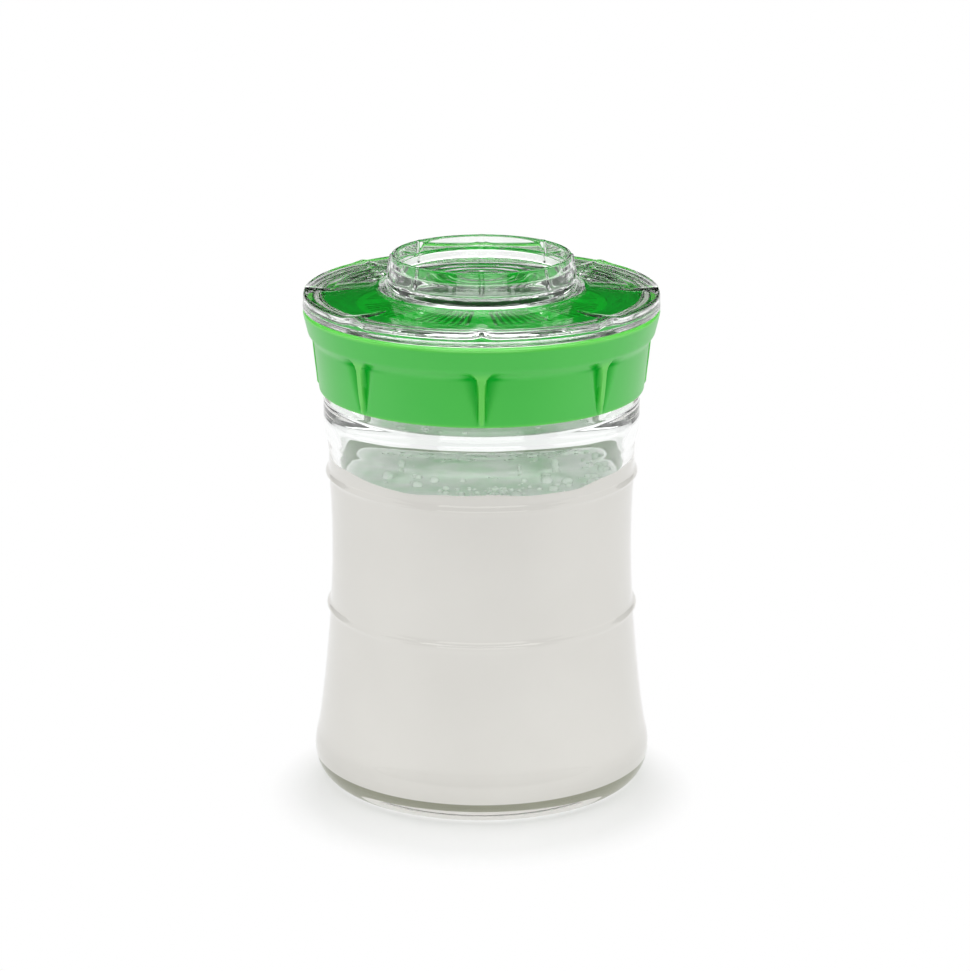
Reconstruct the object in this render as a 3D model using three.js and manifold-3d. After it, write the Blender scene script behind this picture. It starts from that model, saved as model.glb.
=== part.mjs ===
// A glass jar for making kefir: jar, kefir, screw ring, strainer, clear cap and their two seals.
// Millimetres, +Z up. The origin is the middle of the ring that the jar stands on, and -Y is the front.

import * as THREE from 'three';
import { mergeGeometries, mergeVertices } from 'three/addons/utils/BufferGeometryUtils.js';
import Module from 'manifold-3d';

const wasm = await Module();
wasm.setup();

// Clearances
const SEAT_GAP = 0.3; // between pieces that rest on or in each other
const THREAD_GAP = 0.4; // between a thread and the wall or thread that it turns against
const PASS_GAP = 0.8; // round the strainer where it passes the jar's seal

// Jar: foot, heel and body
const FOOT_RADIUS = 46.8;
const FOOT_BAND = 6.8; // from the foot's outer edge in to the hollow under the jar
const PUNT_RISE = 1.5;
const HEEL_BULGE = 6.1; // how far the heel stands out from the foot
const HEEL_HEIGHT = 9;
const FLARE_BEND_OUT = 2; // of the flare's bend from the lower bead's radius
const FLARE_BEND_RISE = 18; // of the flare's bend above the heel's widest point
const INNER_HEEL_RISE = 3.6; // of the inside's widest point above the outside's
const WAIST_RADIUS = 46.85;
const LOWER_BEAD_HEIGHT = 55.9;
const LOWER_BEAD_RADIUS = 47.6;
const BEAD_SPACING = 43.1; // from the lower bead up to the upper one
const UPPER_BEAD_RADIUS = 47.5;
const BEAD_PROUD = 1.1;
const BEAD_HALF_HEIGHT = 1.2;
const SHOULDER_STEP = 2.8; // how far the shoulder stands out from the neck
const SHOULDER_RISE = 14; // from the upper bead up to the shoulder
const SHOULDER_DROP = 5; // height over which the wall widens to the shoulder
const CARRY_BEAD_RISE = 8; // from the shoulder up to the carry bead
const CARRY_BEAD_PROUD = 0.9;
const CARRY_BEAD_HALF_HEIGHT = 2.4;
const GLASS_WALL = 3.6;
const GLASS_FLOOR = 4.2;

// Jar: neck and thread
const NECK_RADIUS = 46.2;
const NECK_LENGTH = 21.2; // from the end of the shoulder's slope to the rim
const NECK_SLOPE = 1.4; // height of the slope between shoulder and neck
const NECK_WALL = 4.2;
const BORE_SLOPE = 9.8; // height over which the inside narrows to the bore
const RIM_ROUND = 1;
const THREAD_PITCH = 5;
const THREAD_DEPTH = 1.6;
const THREAD_ROOT = 0.8; // how far the thread is sunk into its wall
const THREAD_TAPER = 2.4; // width at the wall over width at the crest
const THREAD_FADE = 1 / 32; // turns over which its ends rise
const THREAD_END = 0.2; // share of its depth at its very ends
const THREAD_DROP = 15; // from the rim down to the thread's lower end
const JAR_THREAD_TURNS = 1.25;
const JAR_THREAD_LEAD_IN = 1 / 100; // turns by which its end lies past the +X axis
const JAR_THREAD_WIDTH = 2.6;
const RING_THREAD_TURNS = 1;
const RING_THREAD_WIDTH = 1.8;
const RING_THREAD_LEAD_IN = 1 / 11; // as above, for the ring's own thread

// Kefir
const KEFIR_RISE = 0.5; // of its surface above the upper bead
const MENISCUS_RISE = 1.2; // how far its edge climbs the glass
const MENISCUS_WIDTH = 3;

// Screw ring
const RING_WALL = 2;
const RIM_WALL = 3; // of the ring outside the cap's groove
const RING_FOOT_GAP = 0.7; // between the ring's foot and the neck's slope
const PANEL_FLARE = 1.6; // how much the skirt widens below the band
const BAND_HEIGHT = 9.6;
const BAND_FILLET = 2.4;
const BAND_LEDGE = 0.6; // how far the fillet's middle stands out from the panel
const BAND_TAPER = 1.7;
const RIM_STEP = 0.4; // how far the ring's rim stands above its deck
const DECK_THICKNESS = 2;
const GROOVE_WALL = 1.2;
const GROOVE_DEPTH = 3.6;
const RIB_HEIGHT = 1.1;
const RIB_FOOT_HEIGHT = 0.1;
const RIB_BAND_HEIGHT = 0.15;
const RIB_WIDTH_TOP = 2.6;
const RIB_WIDTH_FOOT = 1;

// Strainer
const STRAINER_CLEARANCE = 1.7; // to the jar's bore
const STRAINER_THICKNESS = 2;
const STRAINER_RISE = 2.6; // height of its shallow cone
const STRAINER_RIM = 3; // flat margin outside the slots
const STRAINER_LIP = 1.3; // how far the ring's lip holds its edge
const STRAINER_LIP_THICKNESS = 0.8;
const SLOTS_PER_SECTOR = 8;
const SLOT_PITCH = THREE.MathUtils.degToRad(4.2);
const SLOT_WIDTH = 1.1;
const SLOT_INNER_RADIUS = 20;
const SLOT_MARGIN = 1; // between a slot's end and the flat margin
const HUB_RADIUS = 7;
const HUB_HEIGHT = 2;
const HUB_TAPER = 0.8;

// Seals
const JAR_SEAL_THICKNESS = 1.7;
const JAR_SEAL_OUTER_GAP = 0.5;
const CAP_SEAL_THICKNESS = 1.6;

// Clear cap
const CAP_SETBACK = 0.2; // of its rim from the ring's rim
const CAP_RIM_HEIGHT = 5.2;
const CAP_RIM_WIDTH = 2.6;
const CAP_PLATE = 2.6;
const CAP_PLATE_DROP = 0.4; // of the plate's edge below the rim
const CAP_PLATE_RISE = 1.2; // of the plate from the rim to the collar
const CAP_EDGE = 0.6;
const SKIRT_WALL = 2.2;
const FLANGE_WIDTH = 2.2;
const FLANGE_HEIGHT = 3;
const COLLAR_RADIUS = 29.1;
const COLLAR_TAPER = 1.4;
const COLLAR_WALL = 2.5;
const COLLAR_HEIGHT = 10.2; // from the plate to the collar's edge
const COLLAR_FLOOR_DROP = 7.9; // from the collar's edge to the floor inside it
const COLLAR_FLOOR = 2.4;
const PLEAT_RISE = 1.3;
const PLEAT_UNDER_RISE = 1;
const PLEAT_NOTCH = 0.9;
const PLEAT_LENGTH = 14.4;
const PLEAT_WIDTH_RIM = 9.6;
const PLEAT_WIDTH_INNER = 1.6;
const SEAM_WIDTH = 2.5;

// Both the ring's ribs and the cap's pleats divide the circle alike
const SECTORS = 8;
const PLAIN_COLUMNS = 4;
const JAR_COLUMNS = 48;

// Radii and heights that follow from the sizes above
const heelRadius = FOOT_RADIUS + HEEL_BULGE;
const shoulderRadius = NECK_RADIUS + SHOULDER_STEP;
const boreRadius = NECK_RADIUS - NECK_WALL;
const upperBeadHeight = LOWER_BEAD_HEIGHT + BEAD_SPACING;
const shoulderHeight = upperBeadHeight + SHOULDER_RISE;
const carryBeadHeight = shoulderHeight + CARRY_BEAD_RISE;
const jarHeight = carryBeadHeight + CARRY_BEAD_HALF_HEIGHT + NECK_SLOPE + NECK_LENGTH;
const neckFoot = jarHeight - NECK_LENGTH;
const innerHeelHeight = HEEL_HEIGHT + INNER_HEEL_RISE;
const flareBend = point(LOWER_BEAD_RADIUS + FLARE_BEND_OUT, HEEL_HEIGHT + FLARE_BEND_RISE);
// The waist's bend lies as far inside the waist as the beads lie outside it
const waistBend = point(
  2 * WAIST_RADIUS - (LOWER_BEAD_RADIUS + UPPER_BEAD_RADIUS) / 2,
  (LOWER_BEAD_HEIGHT + upperBeadHeight) / 2,
);
const ringBore = NECK_RADIUS + THREAD_DEPTH + THREAD_GAP;
const ringFootRadius = ringBore + RING_WALL;
const ringFoot = neckFoot + RING_FOOT_GAP;
const jarSealFoot = jarHeight + SEAT_GAP;
const deckUnderside = jarSealFoot + JAR_SEAL_THICKNESS + SEAT_GAP;
const deckTop = deckUnderside + DECK_THICKNESS;
const ringTop = deckTop + RIM_STEP;
const strainerRadius = boreRadius - STRAINER_CLEARANCE;
const strainerTop = deckTop - STRAINER_LIP_THICKNESS - SEAT_GAP;
const grooveInner = ringBore + GROOVE_WALL;
const grooveOuter = grooveInner + SKIRT_WALL + 2 * SEAT_GAP;
const ringTopRadius = grooveOuter + RIM_WALL;
const grooveFoot = deckTop - GROOVE_DEPTH;
const capSealFoot = grooveFoot + SEAT_GAP;
const skirtFoot = capSealFoot + CAP_SEAL_THICKNESS + SEAT_GAP;
const capFoot = ringTop + SEAT_GAP;
const threadFoot = jarHeight - THREAD_DROP;

// A geometry with only its positions, each shared by the faces round it, and no flat-to-a-line faces
function welded(geometry) {
  const bare = geometry.clone();
  bare.deleteAttribute('normal');
  bare.deleteAttribute('uv');
  const merged = mergeVertices(bare, 1e-4);
  const index = merged.index.array;
  const kept = [];
  for (let i = 0; i < index.length; i += 3) {
    const [a, b, c] = index.subarray(i, i + 3);
    if (a !== b && b !== c && c !== a) kept.push(a, b, c);
  }
  merged.setIndex(kept);
  return merged;
}

function solid(geometry) {
  const mesh = welded(geometry);
  const vertProperties = new Float32Array(mesh.attributes.position.array);
  const triVerts = new Uint32Array(mesh.index.array);
  return new wasm.Manifold(new wasm.Mesh({ numProp: 3, vertProperties, triVerts }));
}

function geometryOf(manifold) {
  const mesh = manifold.getMesh();
  const geometry = new THREE.BufferGeometry();
  geometry.setAttribute('position', new THREE.BufferAttribute(new Float32Array(mesh.vertProperties), 3));
  geometry.setIndex(new THREE.BufferAttribute(new Uint32Array(mesh.triVerts), 1));
  geometry.computeVertexNormals();
  return geometry;
}

// Points of an outline: x is the radius and y the height
function point(radius, height) {
  return new THREE.Vector2(radius, height);
}

function curve(from, bend, to, steps) {
  return new THREE.QuadraticBezierCurve(from, bend, to).getPoints(steps);
}

function arc(radius, height, halfWidth, halfHeight, start, end, steps) {
  return new THREE.EllipseCurve(radius, height, halfWidth, halfHeight, start, end).getPoints(steps);
}

function bead(radius, height, proud, halfHeight, steps) {
  return arc(radius, height, proud, halfHeight, -Math.PI / 2, Math.PI / 2, steps);
}

// An outline turned round the Z axis
function turned(points, columns) {
  return new THREE.LatheGeometry(points, columns).rotateX(Math.PI / 2);
}

// An outline turned round the Z axis in equal sectors, with a fold in the middle of the front of each.
// Each row is a point with the fold's half width there, how far it stands out and how far it rises.
// Each share is a column across the fold: its place in half widths, and how much of the fold it takes.
function turnedWithFolds(rows, shares) {
  const columnsInSector = shares.length + PLAIN_COLUMNS;
  const lathe = new THREE.LatheGeometry(rows.map((row) => row.at), SECTORS * columnsInSector);
  const position = lathe.attributes.position;
  const sectorAngle = (2 * Math.PI) / SECTORS;
  for (let i = 0; i < position.count; i++) {
    const column = Math.floor(i / rows.length);
    const { at, half, out, up } = rows[i % rows.length];
    const halfAngle = at.x > 0 ? half / at.x : 0;
    const place = column % columnsInSector;
    const plainStep = (sectorAngle - 2 * halfAngle) / (PLAIN_COLUMNS + 1);
    const onFold = place < shares.length;
    const [share, weight] = onFold ? shares[place] : [1, 0];
    const past = onFold ? 0 : place - shares.length + 1;
    const sector = Math.floor(column / columnsInSector);
    const angle = sector * sectorAngle + share * halfAngle + past * plainStep - Math.PI / 2;
    const radius = at.x + out * weight;
    position.setXYZ(i, radius * Math.cos(angle), radius * Math.sin(angle), at.y + up * weight);
  }
  return lathe;
}

function row(radius, height, half, out = 0, up = 0) {
  return { at: point(radius, height), half, out, up };
}

// A screw thread: a bar of the thread's section, wound into a helix. It fades at both ends.
// side is 1 for a thread that stands outwards from its wall, and -1 for one that stands inwards.
function thread(wallRadius, foot, turns, leadIn, width, side) {
  const crest = width / THREAD_TAPER;
  const rootWidth = width + ((width - crest) * THREAD_ROOT) / THREAD_DEPTH;
  const section = new THREE.Shape([
    point(-THREAD_ROOT, -rootWidth / 2),
    point(THREAD_DEPTH, -crest / 2),
    point(THREAD_DEPTH, crest / 2),
    point(-THREAD_ROOT, rootWidth / 2),
  ]);
  const steps = Math.round(turns * JAR_COLUMNS);
  const bar = new THREE.ExtrudeGeometry(section, { depth: 1, steps, bevelEnabled: false });
  const position = bar.attributes.position;
  for (let i = 0; i < position.count; i++) {
    const along = position.getZ(i);
    const fromEnd = Math.min(along, 1 - along) * turns;
    const swell = Math.min(1, THREAD_END + fromEnd / THREAD_FADE);
    const out = position.getX(i) > 0 ? position.getX(i) * swell : position.getX(i);
    const angle = (leadIn + along * turns) * 2 * Math.PI;
    const radius = wallRadius + side * out;
    const height = foot + position.getY(i) + (leadIn + along * turns) * THREAD_PITCH;
    position.setXYZ(i, radius * Math.cos(angle), radius * Math.sin(angle), height);
  }
  if (side > 0) reverseFaces(bar);
  return bar;
}

// A bar wound inside out by its mapping is turned the right way again
function reverseFaces(geometry) {
  const position = geometry.attributes.position;
  const held = new THREE.Vector3();
  const other = new THREE.Vector3();
  for (let i = 0; i < position.count; i += 3) {
    held.fromBufferAttribute(position, i + 1);
    other.fromBufferAttribute(position, i + 2);
    position.setXYZ(i + 1, other.x, other.y, other.z);
    position.setXYZ(i + 2, held.x, held.y, held.z);
  }
}

// A flat ring with square edges, standing on z = 0
function flatRing(inner, outer, thickness) {
  const outline = [
    point(inner, 0),
    point(outer, 0),
    point(outer, thickness),
    point(inner, thickness),
    point(inner, 0),
  ];
  return turned(outline, JAR_COLUMNS);
}

// The inside of the jar's body, from the upper bead down to the edge of its floor
function bodyInside() {
  const waist = curve(
    point(UPPER_BEAD_RADIUS - GLASS_WALL, upperBeadHeight),
    point(waistBend.x - GLASS_WALL, waistBend.y),
    point(LOWER_BEAD_RADIUS - GLASS_WALL, LOWER_BEAD_HEIGHT),
    3,
  );
  const flare = curve(
    waist.at(-1),
    point(flareBend.x - GLASS_WALL, flareBend.y),
    point(heelRadius - GLASS_WALL, innerHeelHeight),
    3,
  );
  const heel = arc(
    FOOT_RADIUS - GLASS_WALL, innerHeelHeight,
    HEEL_BULGE, innerHeelHeight - GLASS_FLOOR, -Math.PI / 2, 0, 3,
  );
  return [...waist, ...flare.slice(1), ...heel.reverse().slice(1)];
}

// The jar, from the middle of its underside out and up, then down its inside
function jarGeometry() {
  const heel = arc(FOOT_RADIUS, HEEL_HEIGHT, heelRadius - FOOT_RADIUS, HEEL_HEIGHT, -Math.PI / 2, 0, 4);
  const lowerBead = bead(LOWER_BEAD_RADIUS, LOWER_BEAD_HEIGHT, BEAD_PROUD, BEAD_HALF_HEIGHT, 4);
  const upperBead = bead(UPPER_BEAD_RADIUS, upperBeadHeight, BEAD_PROUD, BEAD_HALF_HEIGHT, 4);
  const carryBead = bead(
    shoulderRadius, carryBeadHeight, CARRY_BEAD_PROUD, CARRY_BEAD_HALF_HEIGHT, 4,
  );
  const flare = curve(heel.at(-1), flareBend, lowerBead[0], 5).slice(1, -1);
  const waist = curve(lowerBead.at(-1), waistBend, upperBead[0], 4).slice(1, -1);
  const shoulderFoot = point(UPPER_BEAD_RADIUS, shoulderHeight - SHOULDER_DROP);
  const shoulder = point(shoulderRadius, shoulderHeight);
  const rimHalf = (NECK_RADIUS - boreRadius) / 2;
  const rim = arc(NECK_RADIUS - rimHalf, jarHeight - RIM_ROUND, rimHalf, RIM_ROUND, 0, Math.PI, 6);
  const boreFoot = neckFoot + NECK_SLOPE;
  const inside = [
    point(boreRadius, boreFoot),
    point(shoulderRadius - GLASS_WALL, boreFoot - BORE_SLOPE),
    point(UPPER_BEAD_RADIUS - GLASS_WALL, shoulderHeight - SHOULDER_DROP),
    ...bodyInside(),
  ];
  const outline = [
    point(0, PUNT_RISE),
    point(FOOT_RADIUS - FOOT_BAND, PUNT_RISE),
    point(FOOT_RADIUS - FOOT_BAND + PUNT_RISE, 0),
    ...heel,
    ...flare,
    ...lowerBead,
    ...waist,
    ...upperBead,
    shoulderFoot,
    shoulder,
    ...carryBead,
    point(NECK_RADIUS, neckFoot),
    ...rim,
    ...inside,
    point(0, GLASS_FLOOR),
  ];
  const wall = solid(turned(outline, JAR_COLUMNS));
  const screw = solid(thread(
    NECK_RADIUS, threadFoot, JAR_THREAD_TURNS, JAR_THREAD_LEAD_IN, JAR_THREAD_WIDTH, 1,
  ));
  return geometryOf(wall.add(screw));
}

// The kefir, from the middle of its underside out, up the glass and in over its surface
function kefirGeometry() {
  const level = upperBeadHeight + KEFIR_RISE;
  const lift = (height) => (height < innerHeelHeight ? SEAT_GAP : 0);
  const wall = bodyInside().map((at) => point(at.x - SEAT_GAP, at.y + lift(at.y))).reverse();
  const edge = wall.at(-1).x;
  const outline = [
    point(0, GLASS_FLOOR + SEAT_GAP),
    ...wall,
    point(edge, level + MENISCUS_RISE),
    point(edge - MENISCUS_WIDTH, level),
    point(0, level),
  ];
  return geometryOf(solid(turned(outline, JAR_COLUMNS)));
}

// The screw ring, from the inner edge of its foot, out, up the ribbed skirt and down the inside
function ringGeometry() {
  const bandFoot = ringTop - BAND_HEIGHT;
  const panelTop = ringFootRadius + PANEL_FLARE;
  const bandRadius = ringTopRadius - BAND_TAPER;
  const skirt = (share) => {
    const radius = THREE.MathUtils.lerp(ringFootRadius, panelTop, share);
    const height = THREE.MathUtils.lerp(ringFoot, bandFoot, share);
    const width = THREE.MathUtils.lerp(RIB_WIDTH_FOOT, RIB_WIDTH_TOP, share);
    return row(radius, height, width, THREE.MathUtils.lerp(RIB_FOOT_HEIGHT, RIB_HEIGHT, share));
  };
  const half = RIB_WIDTH_TOP;
  const lipFoot = deckTop - STRAINER_LIP_THICKNESS;
  const opening = strainerRadius + SEAT_GAP;
  const lip = strainerRadius - STRAINER_LIP;
  const rows = [
    row(ringBore, ringFoot, half),
    skirt(0),
    skirt(1 / 3),
    skirt(2 / 3),
    skirt(1),
    row(panelTop + BAND_LEDGE, bandFoot + BAND_FILLET / 2, half, RIB_HEIGHT / 2),
    row(bandRadius, bandFoot + BAND_FILLET, half, RIB_BAND_HEIGHT),
    row(ringTopRadius, ringTop - RIM_STEP, half),
    row(ringTopRadius - RIM_STEP, ringTop, half),
    row(grooveOuter, ringTop, half),
    row(grooveOuter, grooveFoot, half),
    row(grooveInner, grooveFoot, half),
    row(grooveInner, deckTop, half),
    row(lip, deckTop, half),
    row(lip, lipFoot, half),
    row(opening, lipFoot, half),
    row(opening, deckUnderside, half),
    row(ringBore, deckUnderside, half),
    row(ringBore, ringFoot, half),
  ];
  const ribShares = [[-1, 0], [-0.5, 1], [0.5, 1], [1, 0]];
  const wall = solid(turnedWithFolds(rows, ribShares));
  const threadOffset = (JAR_THREAD_WIDTH + RING_THREAD_WIDTH) / 2;
  const screw = solid(thread(
    ringBore, threadFoot - threadOffset, RING_THREAD_TURNS, RING_THREAD_LEAD_IN, RING_THREAD_WIDTH, -1,
  ));
  return geometryOf(wall.add(screw));
}

// The strainer: a shallow cone with radial slots in eight groups, and a hub to hold it by
function strainerGeometry() {
  const coneFoot = strainerRadius - STRAINER_RIM;
  const slotOuter = coneFoot - SLOT_MARGIN;
  const underside = -STRAINER_THICKNESS;
  const outline = [
    point(0, underside + STRAINER_RISE),
    point(HUB_RADIUS, underside + STRAINER_RISE),
    point(coneFoot, underside),
    point(strainerRadius, underside),
    point(strainerRadius, 0),
    point(coneFoot, 0),
    point(HUB_RADIUS, STRAINER_RISE),
    point(HUB_RADIUS - HUB_TAPER, STRAINER_RISE + HUB_HEIGHT),
    point(0, STRAINER_RISE + HUB_HEIGHT),
  ];
  const slotLength = slotOuter - SLOT_INNER_RADIUS;
  const slotDepth = 2 * (STRAINER_THICKNESS + STRAINER_RISE);
  const cutters = [];
  for (let sector = 0; sector < SECTORS; sector++) {
    for (let slot = 0; slot < SLOTS_PER_SECTOR; slot++) {
      const inSector = (slot - (SLOTS_PER_SECTOR - 1) / 2) * SLOT_PITCH;
      const cutter = new THREE.BoxGeometry(slotLength, SLOT_WIDTH, slotDepth);
      cutter.translate(SLOT_INNER_RADIUS + slotLength / 2, 0, 0);
      cutter.rotateZ(((sector + 0.5) * 2 * Math.PI) / SECTORS + inSector);
      cutters.push(cutter);
    }
  }
  const plate = solid(turned(outline, JAR_COLUMNS));
  return geometryOf(plate.subtract(solid(mergeGeometries(cutters))));
}

// The clear cap, from the middle of its underside out to the rim, up, and in over the collar
function capGeometry() {
  const rimRadius = ringTopRadius - CAP_SETBACK;
  const rimTop = CAP_RIM_HEIGHT;
  const plateOuter = rimRadius - CAP_RIM_WIDTH;
  const plateTop = rimTop - CAP_PLATE_DROP;
  const flangeFoot = plateTop + CAP_PLATE_RISE;
  const collarTop = flangeFoot + COLLAR_HEIGHT;
  const floorTop = collarTop - COLLAR_FLOOR_DROP;
  const collarEdge = COLLAR_RADIUS - COLLAR_TAPER;
  const collarInner = COLLAR_RADIUS - COLLAR_WALL;
  const flangeRadius = COLLAR_RADIUS + FLANGE_WIDTH;
  const skirtOuter = grooveOuter - SEAT_GAP;
  const skirtInner = skirtOuter - SKIRT_WALL;
  const pleatTip = plateOuter - PLEAT_LENGTH;
  const tipShare = (plateOuter - pleatTip) / (plateOuter - flangeRadius);
  const tipTop = THREE.MathUtils.lerp(plateTop, flangeFoot, tipShare);
  const rimHalf = PLEAT_WIDTH_RIM / 2;
  const tipHalf = PLEAT_WIDTH_INNER / 2;
  const seamHalf = SEAM_WIDTH / 2;
  const rows = [
    row(0, floorTop - COLLAR_FLOOR, 0),
    row(collarInner, floorTop - COLLAR_FLOOR, seamHalf),
    row(flangeRadius, flangeFoot - CAP_PLATE, seamHalf),
    row(pleatTip, tipTop - CAP_PLATE, tipHalf),
    row(skirtInner, plateTop - CAP_PLATE, rimHalf, 0, PLEAT_RISE),
    row(skirtInner, skirtFoot - capFoot, rimHalf),
    row(skirtOuter, skirtFoot - capFoot, rimHalf),
    row(skirtOuter, 0, rimHalf, 0, PLEAT_UNDER_RISE),
    row(rimRadius - CAP_EDGE, 0, rimHalf, -PLEAT_NOTCH, PLEAT_UNDER_RISE),
    row(rimRadius, CAP_EDGE, rimHalf, -PLEAT_NOTCH, PLEAT_UNDER_RISE),
    row(rimRadius, rimTop - CAP_EDGE, rimHalf, -PLEAT_NOTCH, PLEAT_RISE),
    row(rimRadius - CAP_EDGE, rimTop, rimHalf, -PLEAT_NOTCH, PLEAT_RISE),
    row(plateOuter, plateTop, rimHalf, 0, PLEAT_RISE),
    row(pleatTip, tipTop, tipHalf),
    row(flangeRadius, flangeFoot, seamHalf),
    row(COLLAR_RADIUS, flangeFoot + FLANGE_HEIGHT, seamHalf),
    row(collarEdge, collarTop - CAP_EDGE, seamHalf),
    row(collarEdge - CAP_EDGE, collarTop, seamHalf),
    row(collarEdge - COLLAR_WALL + CAP_EDGE, collarTop, seamHalf),
    row(collarEdge - COLLAR_WALL, collarTop - CAP_EDGE, seamHalf),
    row(collarInner, floorTop, seamHalf),
    row(0, floorTop, 0),
  ];
  const pleatShares = [[-1, 0], [-0.45, 0.4], [0, 1], [0.45, 0.4], [1, 0]];
  return geometryOf(solid(turnedWithFolds(rows, pleatShares)));
}

const glass = new THREE.MeshStandardMaterial({
  color: 0xe9f1ee, roughness: 0.05, metalness: 0, transparent: true, opacity: 0.35,
});
const greenPlastic = new THREE.MeshStandardMaterial({ color: 0x3fc254, roughness: 0.32, metalness: 0 });
const clearPlastic = new THREE.MeshStandardMaterial({
  color: 0xf2f7f4, roughness: 0.08, metalness: 0, transparent: true, opacity: 0.4,
});
const kefirWhite = new THREE.MeshStandardMaterial({ color: 0xdcdad4, roughness: 0.5, metalness: 0 });
const silicone = new THREE.MeshStandardMaterial({ color: 0xe4e6e0, roughness: 0.6, metalness: 0 });

function piece(name, geometry, material, height) {
  const mesh = new THREE.Mesh(geometry, material.clone());
  mesh.name = name;
  mesh.position.z = height;
  return mesh;
}

const jarSealInner = strainerRadius + PASS_GAP;
const jarSealOuter = ringBore - JAR_SEAL_OUTER_GAP;
const capSealInner = grooveInner + SEAT_GAP;
const capSealOuter = grooveOuter - SEAT_GAP;

const kefirJar = new THREE.Group();
kefirJar.add(
  piece('glass_jar', jarGeometry(), glass, 0),
  piece('kefir_fill', kefirGeometry(), kefirWhite, 0),
  piece('jar_seal', flatRing(jarSealInner, jarSealOuter, JAR_SEAL_THICKNESS), silicone, jarSealFoot),
  piece('screw_ring', ringGeometry(), greenPlastic, 0),
  piece('strainer', strainerGeometry(), greenPlastic, strainerTop),
  piece('cap_seal', flatRing(capSealInner, capSealOuter, CAP_SEAL_THICKNESS), silicone, capSealFoot),
  piece('clear_cap', capGeometry(), clearPlastic, capFoot),
);

export default kefirJar;
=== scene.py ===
import math
import random

import bmesh
import bpy
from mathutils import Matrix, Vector


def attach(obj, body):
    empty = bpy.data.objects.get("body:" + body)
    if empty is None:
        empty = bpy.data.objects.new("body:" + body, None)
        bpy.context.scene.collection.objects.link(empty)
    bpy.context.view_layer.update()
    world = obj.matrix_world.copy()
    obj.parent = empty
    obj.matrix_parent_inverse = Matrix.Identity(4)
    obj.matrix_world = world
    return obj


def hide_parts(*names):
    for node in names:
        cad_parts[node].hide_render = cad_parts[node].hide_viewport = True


bl_info = {
    "name": "Kefir jar",
    "version": (1, 0, 0),
    "blender": (4, 5, 0),
    "location": "3D View > Sidebar > Kefir jar",
    "description": "Builds a glass kefir jar with its screw ring, strainer, clear cap and kefir",
    "category": "Object",
}

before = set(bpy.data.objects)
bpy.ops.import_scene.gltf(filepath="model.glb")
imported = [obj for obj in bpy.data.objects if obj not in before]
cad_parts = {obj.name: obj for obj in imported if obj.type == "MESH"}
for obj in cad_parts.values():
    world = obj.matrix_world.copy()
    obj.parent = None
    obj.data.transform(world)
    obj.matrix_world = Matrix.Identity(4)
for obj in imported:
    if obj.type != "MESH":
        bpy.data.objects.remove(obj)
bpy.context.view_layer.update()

# Outlines below are in millimetres, as (radius, height), and meshes in metres
MM = 0.001
SECTORS = 8
SECTOR = 2 * math.pi / SECTORS
ROUNDING_STEP = math.radians(15)
SHARP_EDGE = math.radians(40)

# Nearness: of doubled vertices and of the axis in metres, and of a round face in millimetres
SAME_PLACE = 1e-7
ON_AXIS = 1e-6
ON_FACE = 0.01

# Screw thread shared by the jar's neck and the ring, with lead-in and turns in whole turns
THREAD_PITCH = 5.0
THREAD_DEPTH = 1.6
THREAD_TAPER = 2.4
THREAD_FADE = 1 / 32
JAR_THREAD = {"foot": 131.0, "lead_in": 0.01, "turns": 1.25, "width": 2.6}
RING_THREAD = {"foot": 128.8, "lead_in": 1 / 11, "turns": 1.0, "width": 1.8}


# Outlines


def rounded(corners):
    """The outline through corners of radius, height and rounding."""
    points = []
    last = len(corners) - 1
    for i, (radius, height, rounding) in enumerate(corners):
        corner = Vector((radius, height))
        if not rounding or i in (0, last):
            points.append(corner)
            continue
        back = Vector(corners[i - 1][:2]) - corner
        ahead = Vector(corners[i + 1][:2]) - corner
        opening = back.angle(ahead)
        reach = min(rounding / math.tan(opening / 2), back.length / 2, ahead.length / 2)
        start = corner + back.normalized() * reach
        end = corner + ahead.normalized() * reach
        steps = max(2, round((math.pi - opening) / ROUNDING_STEP))
        for k in range(steps + 1):
            t = k / steps
            points.append(start.lerp(corner, t).lerp(corner.lerp(end, t), t))
    return points


def smooth_line(places, steps):
    """A smooth line through places, with so many steps between each two."""
    knots = [Vector(p) for p in places]
    knots = [2 * knots[0] - knots[1]] + knots + [2 * knots[-1] - knots[-2]]
    line = [knots[1]]
    for a, b, c, d in zip(knots, knots[1:], knots[2:], knots[3:]):
        for k in range(1, steps + 1):
            t = k / steps
            line.append(
                0.5 * (2 * b + (c - a) * t + (2 * a - 5 * b + 4 * c - d) * t**2
                       + (3 * b - a - 3 * c + d) * t**3)
            )
    return line


def stepped(points, longest):
    """The same outline with no step longer than that."""
    fine = [points[0]]
    for a, b in zip(points, points[1:]):
        parts = max(1, math.ceil((b - a).length / longest))
        fine += [a.lerp(b, k / parts) for k in range(1, parts + 1)]
    return fine


def smoothstep(low, high, value):
    """A soft step from 0 at low to 1 at high."""
    t = min(1.0, max(0.0, (value - low) / (high - low)))
    return t * t * (3 - 2 * t)


# Meshes


def spun(points, steps, closed=False):
    """A bmesh of an outline turned round the Z axis."""
    bm = bmesh.new()
    verts = [bm.verts.new((p[0] * MM, 0, p[1] * MM)) for p in points]
    edges = [bm.edges.new(pair) for pair in zip(verts, verts[1:])]
    if closed:
        edges.append(bm.edges.new((verts[-1], verts[0])))
    bmesh.ops.spin(
        bm, geom=verts + edges, cent=(0, 0, 0), axis=(0, 0, 1),
        angle=2 * math.pi, steps=steps, use_merge=True,
    )
    bmesh.ops.remove_doubles(bm, verts=bm.verts, dist=SAME_PLACE)
    bmesh.ops.recalc_face_normals(bm, faces=bm.faces)
    return bm


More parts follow.
